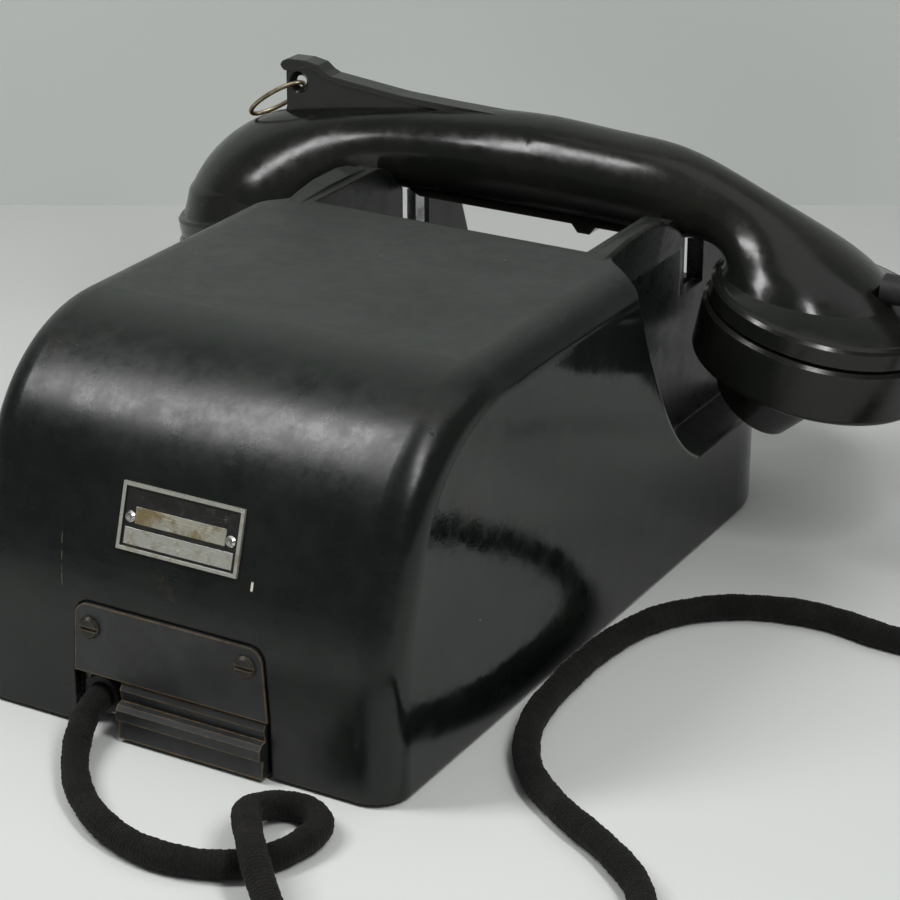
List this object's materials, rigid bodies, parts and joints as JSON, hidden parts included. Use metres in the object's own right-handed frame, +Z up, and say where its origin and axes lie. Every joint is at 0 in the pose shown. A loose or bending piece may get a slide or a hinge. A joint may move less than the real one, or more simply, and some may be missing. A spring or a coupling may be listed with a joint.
{
  "type": "desk telephone",
  "caption": "Black moulded desk telephone: sloped dial housing with a rounded back, an arched push-to-talk handset across two notched ears, and a braided cord.",
  "frame": {"origin": "middle of the footprint, on the table", "axes": "+Z up, the dial faces -Y, the cord leaves the back at +Y, the mouthpiece hangs on the -X side"},
  "size_m": [0.303, 0.3083, 0.12],
  "materials": {
    "housing_black": "moulded phenolic, semi-gloss, lightly worn",
    "handset_black": "polished moulded phenolic, faintly brown",
    "talk_bar_black": "polished moulded phenolic",
    "cover_black": "matt black lacquer, rubbed brown at the edges",
    "rubber_black": "matt black rubber",
    "plain_steel": "plain steel",
    "blackened_steel": "blackened steel screw heads",
    "zinc_steel": "zinc-plated steel",
    "plate_metal": "light metal plate with a dark field and two pale bars",
    "rivet_metal": "bright rivet heads",
    "coil_wrap": "varnished paper over wire",
    "gong_brass": "plain gong brass",
    "condenser_can": "painted can",
    "insulator_brown": "moulded insulator",
    "spring_brass": "nickel-silver leaves",
    "number_white": "white enamel",
    "dial_black": "black enamel",
    "bright_steel": "nickel-plated",
    "ring_wire": "dulled brass wire",
    "capsule_metal": "pressed metal",
    "cord_braid": "braided black textile, dusty"
  },
  "bodies": {
    "base": {"base_plate": "zinc_steel", "base_screws": "plain_steel", "clamp_screw": "plain_steel", "clapper_pin": "plain_steel", "condenser": "condenser_can", "contact_block": "insulator_brown", "contact_springs": "spring_brass", "cord_bracket": "zinc_steel", "cord_clamp_block": "cover_black", "cord_cover_plate": "cover_black", "cord_cover_screws": "blackened_steel", "cord_gland": "rubber_black", "dial_case": "zinc_steel", "dial_ring": "housing_black", "finger_stop": "bright_steel", "fork_bracket": "zinc_steel", "fork_shaft": "plain_steel", "gong_left": "gong_brass", "gong_posts": "zinc_steel", "gong_right": "gong_brass", "gong_screws": "plain_steel", "handset_cord": "cord_braid", "housing": "housing_black", "induction_coil": "coil_wrap", "induction_coil_stand": "insulator_brown", "number_plate": "number_white", "ringer_coils": "coil_wrap", "ringer_frame": "zinc_steel", "rubber_feet": "rubber_black", "terminal_block": "insulator_brown", "terminal_screws": "plain_steel", "type_plate": "plate_metal", "type_plate_rivets": "rivet_metal"},
    "dial": {"dial_wheel": "dial_black", "dial_centre_disc": "dial_black"},
    "governor": {"dial_governor": "plain_steel"},
    "fork": {"cradle_fork": "zinc_steel"},
    "clapper_arm": {"clapper": "zinc_steel"},
    "handset": {"handset_shell": "handset_black", "mouthpiece_cap": "handset_black", "earpiece_cap": "handset_black", "transmitter_capsule": "capsule_metal", "receiver_capsule": "capsule_metal", "talk_bar_pin": "plain_steel", "cord_collar": "rubber_black"},
    "talk_lever": {"talk_bar": "talk_bar_black"},
    "ring": {"hanging_ring": "ring_wire"}
  },
  "joints": [
    {"name": "dial_turn", "type": "hinge", "parent": "base", "child": "dial", "pos_m": [0, -0.0885, 0.0405], "axis": [0, 0.766, -0.6428], "range_deg": [0, 320], "stiffness_Nm_per_rad": 0.004, "springref_deg": -34.38},
    {"name": "governor_turn", "type": "hinge", "parent": "base", "child": "governor", "pos_m": [0.015, -0.0885, 0.0405], "axis": [0, 0.766, -0.6428], "range_deg": [-940, 0]},
    {"name": "fork_rise", "type": "hinge", "parent": "base", "child": "fork", "pos_m": [0, -0.025, 0.044], "axis": [-1, 0, 0], "range_deg": [0, 6]},
    {"name": "clapper_swing", "type": "hinge", "parent": "base", "child": "clapper_arm", "pos_m": [0, 0.062, 0.0458], "axis": [0, 1, 0], "range_deg": [-4.5, 4.5], "stiffness_Nm_per_rad": 0.01},
    {"name": "handset_lift", "type": "slide", "parent": "base", "child": "handset", "axis": [0, 0, 1], "range_m": [0, 0.06]},
    {"name": "talk_press", "type": "hinge", "parent": "handset", "child": "talk_lever", "pos_m": [0.036, -0.073, 0.0888], "axis": [0, 1, 0], "range_deg": [0, 1.1], "stiffness_Nm_per_rad": 8, "springref_deg": -1.15},
    {"name": "ring_swing", "type": "hinge", "parent": "handset", "child": "ring", "pos_m": [0.0824, -0.073, 0.1121], "axis": [0, -1, 0], "range_deg": [0, 50]}
  ],
  "couplings": [
    {"joint": "governor_turn", "follows": "dial_turn", "ratio": -2.9},
    {"joint": "fork_rise", "follows": "handset_lift", "rad_per_m": 1.6667}
  ]
}
